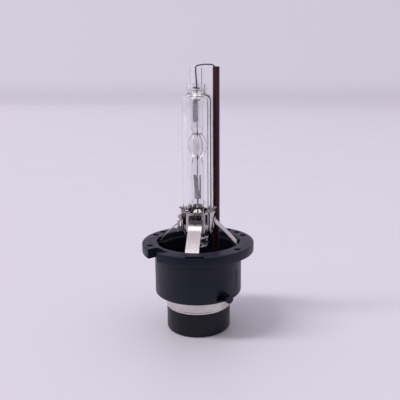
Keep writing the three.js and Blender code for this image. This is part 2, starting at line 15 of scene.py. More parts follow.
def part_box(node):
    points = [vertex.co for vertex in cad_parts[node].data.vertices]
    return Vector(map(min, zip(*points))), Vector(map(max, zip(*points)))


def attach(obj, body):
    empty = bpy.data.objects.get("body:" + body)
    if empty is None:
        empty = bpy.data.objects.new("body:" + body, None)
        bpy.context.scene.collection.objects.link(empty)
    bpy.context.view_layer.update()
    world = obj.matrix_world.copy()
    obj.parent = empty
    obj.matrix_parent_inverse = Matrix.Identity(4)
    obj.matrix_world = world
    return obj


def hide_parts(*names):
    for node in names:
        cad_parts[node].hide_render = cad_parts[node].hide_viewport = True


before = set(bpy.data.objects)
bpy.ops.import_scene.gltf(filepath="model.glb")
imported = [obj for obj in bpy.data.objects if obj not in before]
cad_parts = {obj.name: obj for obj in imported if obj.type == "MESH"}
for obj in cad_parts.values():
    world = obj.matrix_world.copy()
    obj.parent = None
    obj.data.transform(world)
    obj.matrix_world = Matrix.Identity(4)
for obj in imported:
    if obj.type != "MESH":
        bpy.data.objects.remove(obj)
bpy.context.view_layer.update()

MM = 0.001
random.seed(7)


# Places taken from the frame.
def low_high(node):
    """The node's lowest and highest corners in millimetres."""
    low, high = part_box(node)
    return low / MM, high / MM


HOUSING_LOW, HOUSING_HIGH = low_high("base_housing")
CAP_LOW, CAP_HIGH = low_high("connector_cap")
RING_LOW, RING_HIGH = low_high("contact_ring")
CONTACT_LOW, CONTACT_HIGH = low_high("centre_contact")
SHIELD_LOW, SHIELD_HIGH = low_high("ceramic_shield")
WIRE_LOW, WIRE_HIGH = low_high("return_wire")
BULB_LOW, BULB_HIGH = low_high("outer_bulb")
BURNER_LOW, BURNER_HIGH = low_high("quartz_burner")
COLLAR_LOW, COLLAR_HIGH = low_high("clamp_collar")
TAB_LOW, TAB_HIGH = low_high("weld_tab")
UPPER_FOIL = low_high("upper_foil")
LOWER_FOIL = low_high("lower_foil")
UPPER_ELECTRODE = low_high("upper_electrode")
LOWER_ELECTRODE = low_high("lower_electrode")
UPPER_LEAD = low_high("upper_lead")
HV_LEAD = low_high("high_voltage_lead")
STRAP_LOW, STRAP_HIGH = low_high("return_strap")
BRACKET_LOW, BRACKET_HIGH = low_high("leg_bracket_right")

TOP = HOUSING_HIGH.z
BODY_BOTTOM = HOUSING_LOW.z
FLANGE_RADIUS = HOUSING_HIGH.x
FLANGE_BOTTOM = TOP - 2.7
BULB_RADIUS = BULB_HIGH.x
BURNER_RADIUS = 1.87
VESSEL_RADIUS = BURNER_HIGH.x
ARC_Z = (UPPER_ELECTRODE[0].z + LOWER_ELECTRODE[1].z) / 2
SHIELD_X = (SHIELD_LOW.x + SHIELD_HIGH.x) / 2
SHIELD_Y = (SHIELD_LOW.y + SHIELD_HIGH.y) / 2
SHIELD_OFFSET = math.hypot(SHIELD_X, SHIELD_Y)
SHIELD_AZIMUTH = math.degrees(math.atan2(SHIELD_Y, SHIELD_X))
# The clamp's cage stands a little turned from the housing's axes.
CAGE_TURN = 2
LEG_AZIMUTHS = {
    "right": CAGE_TURN,
    "back": CAGE_TURN + 90,
    "left": CAGE_TURN + 180,
    "front": CAGE_TURN - 90,
}


# Mesh helpers.
def new_object(name, bm):
    """A linked object from a mesh drawn in millimetres, which is freed."""
    mesh = bpy.data.meshes.new(name)
    bm.to_mesh(mesh)
    bm.free()
    mesh.transform(Matrix.Scale(MM, 4))
    piece = bpy.data.objects.new(name, mesh)
    bpy.context.scene.collection.objects.link(piece)
    return piece


def rounded(points, steps=4):
    """A closed outline whose points may carry a third number, the radius that rounds that corner."""
    outline = []
    for i, (x, y, *radius) in enumerate(points):
        corner = Vector((x, y))
        if not radius:
            outline.append(corner)
            continue
        before = (Vector(points[i - 1][:2]) - corner).normalized()
        after = (Vector(points[(i + 1) % len(points)][:2]) - corner).normalized()
        half = before.angle(after) / 2
        start = corner + before * (radius[0] / math.tan(half))
        end = corner + after * (radius[0] / math.tan(half))
        centre = corner + (before + after).normalized() * (radius[0] / math.sin(half))
        for k in range(steps + 1):
            outline.append(centre + radius[0] * (start - centre).slerp(end - centre, k / steps))
    return outline


def arc(centre, radius, start, end, steps):
    """Points on an arc, or on an ellipse where radius is a pair; angles are in degrees."""
    rx, ry = radius if hasattr(radius, "__len__") else (radius, radius)
    angles = [math.radians(start + (end - start) * k / steps) for k in range(steps + 1)]
    return [(centre[0] + rx * math.cos(a), centre[1] + ry * math.sin(a)) for a in angles]


def lathe_mesh(bm, profile, around=128, inward=False):
    """Adds a solid of revolution from a (radius, height) outline that is closed or ends on the axis."""
    rings = []
    for r, z in profile:
        if r < 1e-6:
            rings.append([bm.verts.new((0, 0, z))])
            continue
        turns = [2 * math.pi * i / around for i in range(around)]
        rings.append([bm.verts.new((r * math.cos(a), r * math.sin(a), z)) for a in turns])
    faces = []
    for lower, upper in zip(rings, rings[1:] + rings[:1]):
        if len(lower) == 1 and len(upper) == 1:
            continue
        for i in range(around):
            j = (i + 1) % around
            corners = [lower[i % len(lower)], lower[j % len(lower)]]
            corners += [upper[j % len(upper)], upper[i % len(upper)]]
            faces.append(bm.faces.new(list(dict.fromkeys(corners))))
    bmesh.ops.recalc_face_normals(bm, faces=faces)
    if inward:
        bmesh.ops.reverse_faces(bm, faces=faces)


def lathe(name, profile, around=128):
    """A solid of revolution as an object of its own."""
    bm = bmesh.new()
    lathe_mesh(bm, profile, around)
    return new_object(name, bm)


def prism(name, outline, depth):
    """A flat outline in XY, made solid by depth along +Z from z = 0."""
    bm = bmesh.new()
    base = bm.faces.new([bm.verts.new((x, y, 0)) for x, y in outline])
    bmesh.ops.recalc_face_normals(bm, faces=[base])
    sweep = bmesh.ops.extrude_face_region(bm, geom=[base])
    moved = [v for v in sweep["geom"] if isinstance(v, bmesh.types.BMVert)]
    bmesh.ops.translate(bm, vec=(0, 0, depth), verts=moved)
    bmesh.ops.recalc_face_normals(bm, faces=bm.faces[:])
    return new_object(name, bm)


def block(name, low, high, corner=0.0):
    """A box between two corners, with its four upright edges rounded."""
    (x0, y0, z0), (x1, y1, z1) = low, high
    extra = (corner,) if corner else ()
    outline = rounded([(x0, y0, *extra), (x1, y0, *extra), (x1, y1, *extra), (x0, y1, *extra)])
    piece = prism(name, outline, z1 - z0)
    return placed(piece, Matrix.Translation((0, 0, z0)))


def placed(piece, *steps):
    """Moves the mesh itself by each matrix in turn; the matrices are in millimetres."""
    for step in steps:
        metres = step.copy()
        metres.translation = step.translation * MM
        piece.data.transform(metres)
    return piece


def turn(degrees, axis="Z"):
    return Matrix.Rotation(math.radians(degrees), 4, axis)


def shift(x=0.0, y=0.0, z=0.0):
    return Matrix.Translation((x, y, z))


# Stands an outline drawn in (radius, height) up in the XZ plane, its depth along -Y.
UPRIGHT = turn(90, "X")


def applied(piece):
    """Applies the piece's modifiers to its mesh."""
    depsgraph = bpy.context.evaluated_depsgraph_get()
    mesh = bpy.data.meshes.new_from_object(piece.evaluated_get(depsgraph))
    piece.modifiers.clear()
    old = piece.data
    piece.data = mesh
    bpy.data.meshes.remove(old)
    return piece


def combined(target, tools, operation):
    """Cuts the tools from the target or joins them to it, and removes the tools."""
    for tool in tools:
        modifier = target.modifiers.new("boolean", "BOOLEAN")
        modifier.object = tool
        modifier.operation = operation
        modifier.solver = "EXACT"
    applied(target)
    for tool in tools:
        bpy.data.objects.remove(tool)
    return target


def softened(piece, width, segments=2, angle=38):
    """Rounds the edges that are sharper than the angle."""
    modifier = piece.modifiers.new("edges", "BEVEL")
    modifier.width = width * MM
    modifier.segments = segments
    modifier.limit_method = "ANGLE"
    modifier.angle_limit = math.radians(angle)
    return applied(piece)


def smooth(piece, angle=32):
    """Shades the piece smooth, with a crease where faces meet at more than the angle."""
    mesh = piece.data
    mesh.polygons.foreach_set("use_smooth", [True] * len(mesh.polygons))
    mesh.set_sharp_from_angle(angle=math.radians(angle))
    return piece


def sheet(name, rows, columns, point, thickness):
    """Sheet metal: a grid of point(across, along), each from 0 to 1, made solid to both sides."""
    bm = bmesh.new()
    grid = []
    for j in range(rows + 1):
        grid.append([bm.verts.new(point(i / columns, j / rows)) for i in range(columns + 1)])
    for j in range(rows):
        for i in range(columns):
            bm.faces.new((grid[j][i], grid[j][i + 1], grid[j + 1][i + 1], grid[j + 1][i]))
    piece = new_object(name, bm)
    modifier = piece.modifiers.new("thickness", "SOLIDIFY")
    modifier.thickness = thickness * MM
    modifier.offset = 0
    modifier.use_even_offset = True
    return applied(piece)


def wire(name, points, radius, sides=6):
    """A round wire along a polyline."""
    curve = bpy.data.curves.new(name, "CURVE")
    curve.dimensions = "3D"
    curve.bevel_depth = radius * MM
    curve.bevel_resolution = sides
    curve.use_fill_caps = True
    spline = curve.splines.new("POLY")
    spline.points.add(len(points) - 1)
    for target, point in zip(spline.points, points):
        target.co = (*(Vector(point) * MM), 1)
    holder = bpy.data.objects.new(name, curve)
    bpy.context.scene.collection.objects.link(holder)
    depsgraph = bpy.context.evaluated_depsgraph_get()
    mesh = bpy.data.meshes.new_from_object(holder.evaluated_get(depsgraph))
    bpy.data.objects.remove(holder)
    piece = bpy.data.objects.new(name, mesh)
    bpy.context.scene.collection.objects.link(piece)
    return piece


def merged(name, pieces):
    """One object that holds all the pieces' meshes."""
    bm = bmesh.new()
    for piece in pieces:
        bm.from_mesh(piece.data)
    mesh = bpy.data.meshes.new(name)
    bm.to_mesh(mesh)
    bm.free()
    for piece in pieces:
        bpy.data.objects.remove(piece)
    whole = bpy.data.objects.new(name, mesh)
    bpy.context.scene.collection.objects.link(whole)
    return whole


def stands_for(piece, material, slot, *nodes):
    """Gives the piece its material, hangs it from the root body and hides the CAD nodes that it replaces."""
    piece.data.materials.clear()
    piece.data.materials.append(material)
    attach(piece, "root")
    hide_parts(*nodes)
    return piece


# Materials.
class Material:
    """A Principled material with short calls for the textures that drive it."""

    def __init__(self, name, **sockets):
        self.material = bpy.data.materials.new(name)
        self.material.use_nodes = True
        self.nodes = self.material.node_tree.nodes
        self.links = self.material.node_tree.links
        self.shader = self.nodes["Principled BSDF"]
        for socket, value in sockets.items():
            self.shader.inputs[socket.replace("_", " ")].default_value = value

    def add(self, kind, **settings):
        node = self.nodes.new("ShaderNode" + kind)
        for key, value in settings.items():
            if key in node.inputs:
                node.inputs[key].default_value = value
            else:
                setattr(node, key, value)
        return node

    def noise(self, size, stretch=(1, 1, 1), detail=3.0, roughness=0.5):
        """Noise with features about size millimetres across, drawn out along each axis by stretch."""
        place = self.add("TexCoord").outputs["Object"]
        mapping = self.add("Mapping")
        mapping.inputs["Scale"].default_value = [1 / (size * MM * s) for s in stretch]
        self.links.new(place, mapping.inputs["Vector"])
        texture = self.add("TexNoise", Scale=1.0, Detail=detail, Roughness=roughness)
        self.links.new(mapping.outputs["Vector"], texture.inputs["Vector"])
        return texture.outputs["Fac"]

    def scaled(self, value, low, high, start=0.3, end=0.7):
        """Maps a texture from start..end to low..high."""
        node = self.add("MapRange")
        for socket, number in (("From Min", start), ("From Max", end), ("To Min", low), ("To Max", high)):
            node.inputs[socket].default_value = number
        self.links.new(value, node.inputs["Value"])
        return node.outputs["Result"]

    def mixed(self, value, first, second, into="Base Color"):
        """Mixes two colours by a texture into a socket of the shader."""
        node = self.add("Mix", data_type="RGBA")
        colours = [s for s in node.inputs if s.type == "RGBA"]
        colours[0].default_value = (*first, 1)
        colours[1].default_value = (*second, 1)
        self.links.new(value, node.inputs["Factor"])
        output = [s for s in node.outputs if s.type == "RGBA"][0]
        self.links.new(output, self.shader.inputs[into])
        return output

    def drive(self, value, socket):
        self.links.new(value, self.shader.inputs[socket])

    def bump(self, value, strength, height):
        """A bump of the given height in millimetres; several calls add up."""
        node = self.add("Bump", Strength=strength, Distance=height * MM)
        self.links.new(value, node.inputs["Height"])
        before = self.shader.inputs["Normal"].links
        if before:
            self.links.new(before[0].from_socket, node.inputs["Normal"])
        self.links.new(node.outputs["Normal"], self.shader.inputs["Normal"])


def moulded_plastic(name, dark, light, roughness):
    """Black glass-filled plastic: faint flow clouds, a fine satin grain and a slight unevenness."""
    m = Material(name, IOR=1.45, Specular_IOR_Level=0.4, Specular_Tint=(0.86, 0.90, 1.0, 1))
    m.mixed(m.scaled(m.noise(5.0, detail=4), 0, 1), dark, light)
    m.drive(m.scaled(m.noise(1.6, detail=5), roughness - 0.05, roughness + 0.07), "Roughness")
    m.bump(m.noise(0.16, detail=2), 0.25, 0.012)
    m.bump(m.noise(0.9, detail=2), 0.10, 0.02)
    return m.material


def rolled_steel(name, colour, roughness, stretch, painted_inner_shade=1.0):
    """Bright strip with rolling lines along one axis, with painted shade on the faces that look inwards to
    the axis.
    """
    m = Material(name, Metallic=1.0)
    clouds = m.scaled(m.noise(2.2, detail=4), 1, 0.88)
    place = m.add("TexCoord")
    flat = m.add("VectorMath", operation="MULTIPLY")
    flat.inputs[1].default_value = (1, 1, 0)
    m.links.new(place.outputs["Object"], flat.inputs[0])
    outward = m.add("VectorMath", operation="NORMALIZE")
    m.links.new(flat.outputs["Vector"], outward.inputs[0])
    facing = m.add("VectorMath", operation="DOT_PRODUCT")
    m.links.new(outward.outputs["Vector"], facing.inputs[0])
    m.links.new(place.outputs["Normal"], facing.inputs[1])
    # Painted shade: faces that look in towards the axis are darkened down to the inner shade level.
    shade = m.scaled(facing.outputs["Value"], painted_inner_shade, 1.0, -0.35, -0.05)
    both = m.add("Math", operation="MULTIPLY")
    m.links.new(clouds, both.inputs[0])
    m.links.new(shade, both.inputs[1])
    m.mixed(both.outputs["Value"], (0, 0, 0), colour)
    m.drive(m.scaled(m.noise(0.35, stretch, detail=3), roughness - 0.05, roughness + 0.06), "Roughness")
    m.bump(m.noise(0.2, stretch, detail=2), 0.06, 0.005)
    m.bump(m.noise(1.1, detail=2), 0.02, 0.02)
    return m.material


def drawn_wire(name, colour, roughness):
    """Dull drawn wire with patches of oxide and fine lines along it."""
    m = Material(name, Metallic=1.0)
    m.mixed(m.scaled(m.noise(0.8, (1, 1, 3), detail=4), 0, 1), colour, [c * 0.6 for c in colour])
    m.drive(m.scaled(m.noise(0.3, detail=2), roughness - 0.08, roughness + 0.1), "Roughness")
    m.bump(m.noise(0.1, (1, 1, 6), detail=2), 0.3, 0.01)
    return m.material


def quartz(name, tint, waviness):
    """Clear quartz: drawn lines along the tube and a slight waviness of the surface."""
    m = Material(name, Base_Color=(*tint, 1), Roughness=0.0, IOR=1.458, Transmission_Weight=1.0)
    m.bump(m.noise(0.9, (1, 1, 14), detail=1), waviness, 0.02)
    m.bump(m.noise(2.4, (1, 1, 3), detail=1), waviness, 0.03)
    return m.material


def crinkled_foil(name, colour):
    """Etched foil: satin, crinkled, and paler where the creases catch light."""
    m = Material(name, Metallic=0.12)
    m.mixed(m.scaled(m.noise(0.35, (1, 1, 2.5), detail=4), 0, 1), colour, [c * 0.75 for c in colour])
    m.drive(m.scaled(m.noise(0.3, detail=2), 0.45, 0.6), "Roughness")
    m.bump(m.noise(0.25, (1, 1, 2), detail=3), 0.6, 0.05)
    return m.material


def extruded_ceramic(name, dark, light):
    """Dark brown ceramic with long extrusion streaks and a fine sintered grain."""
    m = Material(name, IOR=1.4, Specular_IOR_Level=0.3)
    m.mixed(m.scaled(m.noise(0.5, (1, 1, 30), detail=3), 0, 1), dark, light)
    m.drive(m.scaled(m.noise(0.5, detail=3), 0.5, 0.65), "Roughness")
    m.bump(m.noise(0.1, detail=2), 0.3, 0.015)
    m.bump(m.noise(0.3, (1, 1, 25), detail=2), 0.25, 0.02)
    return m.material


def fused_salt(name):
    """Pinkish fused salt, thin and patchy where it films the glass."""
    m = Material(name, Transmission_Weight=0.85, IOR=1.05)
    m.mixed(m.scaled(m.noise(0.5, (1, 1, 2.5), detail=3), 0, 1), (1.0, 0.94, 0.88), (0.98, 0.82, 0.74))
    m.drive(m.scaled(m.noise(0.4, (1, 1, 2.5), detail=4), 0.1, 0.75, 0.3, 0.66), "Alpha")
    m.drive(m.scaled(m.noise(0.2, detail=2), 0.35, 0.6), "Roughness")
    m.bump(m.noise(0.1, detail=2), 0.3, 0.02)
    return m.material


BASE_PLASTIC = moulded_plastic("black_moulding", (0.0042, 0.0053, 0.0155), (0.0072, 0.0085, 0.023), 0.42)
CAP_PLASTIC = moulded_plastic("black_cap_moulding", (0.0032, 0.0038, 0.0068), (0.0055, 0.006, 0.010), 0.4)
# The spring steel has painted shade on its inward faces: the insides of the collar, fingers and brackets.
SPRING_STEEL = rolled_steel("spring_steel", (0.64, 0.585, 0.595), 0.26, (1, 1, 6), painted_inner_shade=0.2)
PLATED = rolled_steel("plated_metal", (0.71, 0.665, 0.64), 0.26, (8, 8, 1))
BULB_QUARTZ = quartz("bulb_quartz", (0.985, 0.985, 0.99), 0.04)
BURNER_QUARTZ = quartz("burner_quartz", (0.985, 0.985, 0.99), 0.3)
NICKEL = drawn_wire("nickel_wire", (0.11, 0.10, 0.115), 0.35)
TUNGSTEN = drawn_wire("tungsten", (0.12, 0.115, 0.125), 0.4)
MOLYBDENUM = crinkled_foil("molybdenum_foil", (0.88, 0.85, 0.95))
CERAMIC = extruded_ceramic("brown_ceramic", (0.062, 0.024, 0.033), (0.086, 0.034, 0.045))
SALT = fused_salt("halide_salt")


# Base housing.
BODY_RADIUS = 12.6
BODY_SOCKET = 9.62
CUP_MOUTH = 11.8
CUP_MOUTH_DEPTH = 1.8
CUP_RADIUS = 10.9
FLOOR_TOP = BODY_BOTTOM + 3.4
FLOOR_BOTTOM = BODY_BOTTOM + 1.9
COLUMN_HOLE = 3.55
LUG_AZIMUTHS = (-45, 135)
LUG = {"radius": 1.15, "start": 11.9, "length": 3.6, "z": 12.8}
LUG_POCKET = ((11.5, -2.3, 11.75), (14.7, 0.45, 13.55))
DIMPLE_AZIMUTHS = (-150, -120, -30, 30, 45, 60, 150, 165)
DIMPLE = {"radius": 0.95, "depth": 0.5, "distance": 14.3}
KEYWAY = {"azimuth": -130, "start": 13, "half_width": 2.15}
KEY_FLAT = {"azimuth": -82.5, "depth": 0.5, "inset": 1.1, "half_width": 2.45}
LEG_SLOT = {"start": 9.5, "end": 12.15, "half_width": 2.3, "depth": 3.8}
GROOVE = {"azimuth": -20.6, "depth": 0.3, "half_width": 0.16, "low": 13.6, "high": 19.2}
# How far a cutting tool reaches past the surface that it cuts, and past the flange.
CLEAR = 1
OUTSIDE = 18


def housing_body():
    profile = rounded([
        (BODY_SOCKET, BODY_BOTTOM, 0.15),
        (BODY_RADIUS, BODY_BOTTOM, 0.35),
        (BODY_RADIUS, FLANGE_BOTTOM, 0.25),
        (FLANGE_RADIUS, FLANGE_BOTTOM, 0.3),
        (FLANGE_RADIUS, TOP, 0.3),
        (CUP_MOUTH, TOP, 0.25),
        (CUP_MOUTH, TOP - CUP_MOUTH_DEPTH, 0.2),
        (CUP_RADIUS, TOP - CUP_MOUTH_DEPTH, 0.15),
        (CUP_RADIUS, FLOOR_TOP, 0.5),
        (COLUMN_HOLE, FLOOR_TOP, 0.15),
        (COLUMN_HOLE, FLOOR_BOTTOM),
        (BODY_SOCKET, FLOOR_BOTTOM),
    ])
    return lathe("base_housing_body", profile, around=192)


def locking_lug(azimuth):
    """A round bayonet lug, lying out from the body."""
    radius, length = LUG["radius"], LUG["length"]
    pin = lathe("lug", rounded([(0, 0), (radius, 0), (radius, length, 0.2), (0, length)]), around=48)
    return placed(pin, turn(90, "Y"), shift(LUG["start"], 0, LUG["z"]), turn(azimuth))


def lug_pocket(azimuth):
    """The cored-out left side of a lug."""
    return placed(block("pocket", *LUG_POCKET, corner=0.4), turn(azimuth))


def keyway():
    """The open notch through the flange's rim."""
    low = (KEYWAY["start"], -KEYWAY["half_width"], FLANGE_BOTTOM - 0.4)
    high = (OUTSIDE, KEYWAY["half_width"], TOP + CLEAR)
    return placed(block("keyway", low, high, corner=0.35), turn(KEYWAY["azimuth"]))


def key_flat():
    """The shallow step in the flange's front edge."""
    low = (FLANGE_RADIUS - KEY_FLAT["inset"], -KEY_FLAT["half_width"], TOP - KEY_FLAT["depth"])
    high = (OUTSIDE, KEY_FLAT["half_width"], TOP + CLEAR)
    return placed(block("key_flat", low, high), turn(KEY_FLAT["azimuth"]))


def dimple(azimuth):
    """One of the round dimples in the flange's top."""
    radius = DIMPLE["radius"]
    low, high = TOP - DIMPLE["depth"], TOP + CLEAR
    pocket = lathe("dimple", rounded([(0, low), (radius, low, 0.15), (radius, high), (0, high)]), around=32)
    return placed(pocket, shift(DIMPLE["distance"]), turn(azimuth))


def leg_slot(azimuth):
    """The slot in the cup's wall that a bracket's foot drops into."""
    low = (LEG_SLOT["start"], -LEG_SLOT["half_width"], TOP - LEG_SLOT["depth"])
    high = (LEG_SLOT["end"], LEG_SLOT["half_width"], TOP + CLEAR)
    return placed(block("leg_slot", low, high, corner=0.3), turn(azimuth))


def wall_groove():
    """The shallow parting groove down the body's right side."""
    low = (BODY_RADIUS - GROOVE["depth"], -GROOVE["half_width"], GROOVE["low"])
    high = (BODY_RADIUS + CLEAR, GROOVE["half_width"], GROOVE["high"])
    return placed(block("groove", low, high), turn(GROOVE["azimuth"]))


def shield_hole():
    """The hole through the cup's floor for the shield's foot."""
    radius = SHIELD_HIGH.x - SHIELD_X + 0.1
    low, high = FLOOR_BOTTOM - 1.5, FLOOR_TOP + 1.5
    hole = lathe("hole", [(0, low), (radius, low), (radius, high), (0, high)], around=24)
    return placed(hole, shift(SHIELD_X, SHIELD_Y))


def build_housing():
    body = housing_body()
    combined(body, [locking_lug(a) for a in LUG_AZIMUTHS], "UNION")
    tools = [dimple(a) for a in DIMPLE_AZIMUTHS]
    tools += [leg_slot(a) for a in LEG_AZIMUTHS.values()]
    tools += [lug_pocket(a) for a in LUG_AZIMUTHS]
    tools += [keyway(), key_flat(), wall_groove(), shield_hole()]
    combined(body, tools, "DIFFERENCE")
    softened(body, 0.09, segments=2, angle=50)
    body.name = "housing"
    return smooth(body)


stands_for(build_housing(), BASE_PLASTIC, "base_plastic", "base_housing")


# Connector cap, ring and contact.
def build_cap():
    """The insulator: a socket below, a column through the housing's floor above, and a bore for the contact
    between.
    """
    neck = RING_HIGH.x - 0.6
    socket = 4.6
    socket_floor = 9.5
    column = 3.5
    lead_bore = 0.5
    contact_bore = 0.95
    contact_seat = CONTACT_HIGH.z + 0.3
    profile = rounded([
        (socket, CAP_LOW.z, 0.3),
        (CAP_HIGH.x, CAP_LOW.z, 0.45),
        (CAP_HIGH.x, RING_LOW.z - 0.05, 0.12),
        (neck, RING_LOW.z - 0.05),
        (neck, RING_HIGH.z - 0.1, 0.1),
        (column, RING_HIGH.z - 0.1, 0.3),
        (column, CAP_HIGH.z, 0.4),
        (lead_bore, CAP_HIGH.z, 0.15),
        (lead_bore, contact_seat),
        (contact_bore, contact_seat),
        (contact_bore, socket_floor),
        (socket, socket_floor, 0.4),
    ])
    return smooth(lathe("cap", profile, around=160))


def build_ring():
    """A drawn band with a rolled bead at its lower edge."""
    inner = 8.95
    outer = 9.42
    profile = rounded([
        (inner, RING_LOW.z),
        (RING_HIGH.x, RING_LOW.z, 0.15),
        (RING_HIGH.x, RING_LOW.z + 0.45, 0.12),
        (outer, RING_LOW.z + 0.6, 0.12),
        (outer, RING_HIGH.z, 0.12),
        (inner, RING_HIGH.z, 0.1),
    ])
    return smooth(lathe("ring", profile, around=160))


def build_contact():
    """A domed pin with a flange, on a shank that goes up into the cap."""
    face = CONTACT_LOW.z
    pin = 1.3
    shank = 0.9
    profile = rounded([
        (0, face + 0.3),
        (0.7, face, 0.2),
        (pin, face, 0.15),
        (pin, face + 0.5, 0.15),
        (CONTACT_HIGH.x, face + 0.5, 0.12),
        (CONTACT_HIGH.x, face + 0.95, 0.12),
        (shank, face + 0.95),
        (shank, CONTACT_HIGH.z, 0.15),
        (0, CONTACT_HIGH.z),
    ])
    return smooth(lathe("contact", profile, around=64))


def build_strap():
    """A flat strap that lies between the shield's foot and the ring."""
    half_length = 2.05
    half_width = 0.8
    middle = 7.345
    low = (-half_length, -half_width, STRAP_LOW.z)
    high = (half_length, half_width, STRAP_HIGH.z)
    strap = placed(block("strap", low, high, corner=0.3), shift(middle), turn(SHIELD_AZIMUTH))
    return smooth(softened(strap, 0.06))


stands_for(build_cap(), CAP_PLASTIC, "cap_plastic", "connector_cap")
stands_for(build_ring(), PLATED, "plated_metal", "contact_ring")
stands_for(build_contact(), PLATED, "plated_metal", "centre_contact")
stands_for(build_strap(), PLATED, "plated_metal", "return_strap")


# Ceramic shield and return wire.
def build_shield():
    """A plain sleeve with a bore for the return wire."""
    radius = (SHIELD_HIGH.x - SHIELD_LOW.x) / 2
    bore = 0.4
    profile = rounded([
        (bore, SHIELD_LOW.z),
        (radius, SHIELD_LOW.z),
        (radius, SHIELD_HIGH.z, 0.1),
        (bore, SHIELD_HIGH.z, 0.08),
    ])
    return smooth(placed(lathe("shield", profile, around=64), shift(SHIELD_X, SHIELD_Y)))


def build_return_wire():
    """Up through the shield, over the gap in a slightly sagging hoop and down the axis to the weld tab."""
    radius = 0.18
    peak = WIRE_HIGH.z - radius
    outline = rounded([
        (SHIELD_OFFSET - 0.2, WIRE_LOW.z),
        (SHIELD_OFFSET - 0.15, peak, 1.5),
        (2.6, peak - 0.02, 4.0),
        (-0.42, peak - 0.5, 1.0),
        (-0.3, peak - 2.5, 3.0),
        (0.0, TAB_HIGH.z - 0.1),
    ], steps=10)
    points = [turn(SHIELD_AZIMUTH) @ Vector((r, 0, z)) for r, z in outline]
    return smooth(wire("hoop_wire", points, radius))


stands_for(build_shield(), CERAMIC, "brown_ceramic", "ceramic_shield")
stands_for(build_return_wire(), NICKEL, "nickel_wire", "return_wire")


# Burner: quartz, electrodes, foils, leads and salt.
# The cavity's radius and half height, and where the burner's open ends are sealed.
CAVITY = (1.2, 2.9)
SEAL_LOW = 31.0
SEAL_HIGH = 67.3


def build_burner():
    """The arc vessel between two sealed legs, each ending in an open tube."""
    neck = 1.3
    leg = BURNER_RADIUS - 0.13
    bore = 1.2
    half = 3.75
    reach = math.degrees(math.asin(neck / VESSEL_RADIUS))
    vessel = arc((0, ARC_Z), (VESSEL_RADIUS, half), -90 + reach, 90 - reach, 28)
    outer = [
        (0, SEAL_LOW + 1.2),
        (bore * 0.7, SEAL_LOW + 0.9),
        (bore, SEAL_LOW, 0.3),
        (bore, BURNER_LOW.z, 0.1),
        (BURNER_RADIUS, BURNER_LOW.z, 0.15),
        (BURNER_RADIUS, SEAL_LOW, 2.0),
        (leg, SEAL_LOW + 1.6, 2.0),
        (leg, ARC_Z - half - 1.5, 0.8),
        (neck + 0.1, ARC_Z - half - 0.15, 0.4),
        *vessel,
        (neck + 0.1, ARC_Z + half + 0.15, 0.4),
        (leg, ARC_Z + half + 1.5, 0.8),
        (leg, SEAL_HIGH - 1.6, 2.0),
        (BURNER_RADIUS, SEAL_HIGH, 2.0),
        (BURNER_RADIUS, BURNER_HIGH.z, 0.15),
        (bore, BURNER_HIGH.z, 0.1),
        (bore, SEAL_HIGH, 0.3),
        (bore * 0.7, SEAL_HIGH - 0.9),
        (0, SEAL_HIGH - 1.2),
    ]
    bm = bmesh.new()
    lathe_mesh(bm, rounded(outer, steps=6), around=96)
    cavity = arc((0, ARC_Z), CAVITY, -90, 90, 24)
    cavity[0] = (0, ARC_Z - CAVITY[1])
    cavity[-1] = (0, ARC_Z + CAVITY[1])
    lathe_mesh(bm, cavity, around=64, inward=True)
    return smooth(new_object("burner", bm), 60)


def build_electrode(name, span, tip_up):
    """A rod with a rounded tip, thinner where it is sealed in the quartz."""
    low, high = span
    tip, root = (high.z, low.z) if tip_up else (low.z, high.z)
    away = -1 if tip_up else 1
    radius = 0.12
    shank = 0.07
    head_length = 1.9
    taper = 0.2
    step = tip + away * head_length
    profile = [(0, root), (shank, root), (shank, step + away * taper), (radius, step)]
    for degrees in (0, 30, 60):
        angle = math.radians(degrees)
        profile.append((radius * math.cos(angle), tip + away * radius * (1 - math.sin(angle))))
    profile.append((0, tip))
    return smooth(lathe(name, profile, around=24), 50)


def build_foil(name, span, width, aside, turn_degrees, split=0.0):
    """A thin wavy foil a little off the axis; split is the share of its height torn into two strips."""
    low, high = span
    length = high.z - low.z

    def strip(left, right, bottom, top, tilt):
        def point(across, along):
            up = bottom + along * (top - bottom)
            lean = tilt * max(0.0, up - (1 - split)) if split else 0.0
            x = (left + across * (right - left)) * width + lean + aside
            ripple = 0.035 * math.sin(up * 19) + 0.02 * math.sin(up * 43 + across * 5)
            return (x, ripple, low.z + up * length)

        return sheet("strip", 48, 6, point, 0.06)

    torn = 1 - split
    strips = [strip(-0.5, 0.5, 0, torn, 0)]
    if split:
        strips += [strip(-0.5, 0.1, torn, 1, -0.35), strip(0.2, 0.5, torn, 1, 0.05)]
    return smooth(placed(merged(name, strips), turn(turn_degrees)), 60)


def build_lead(name, span, radius, sway):
    """A drawn lead with a slight hand-set sway."""
    low, high = span
    steps = 24
    points = []
    for k in range(steps + 1):
        t = k / steps
        x = sway * math.sin(math.pi * t)
        y = 0.6 * sway * math.sin(2 * math.pi * t)
        points.append((x, y, low.z + (high.z - low.z) * t))
    return smooth(wire(name, points, radius))


def build_weld_tab():
    """A short flat strip, hand-set a little off level."""
    low = (TAB_LOW.x, TAB_LOW.y, 0)
    high = (TAB_HIGH.x, TAB_HIGH.y, 0.28)
    tilt = 4
    strip = block("tab", low, high, corner=0.15)
    placed(strip, turn(tilt, "Y"), shift(-0.2, 0, TAB_LOW.z + 0.1))
    return smooth(softened(strip, 0.05))


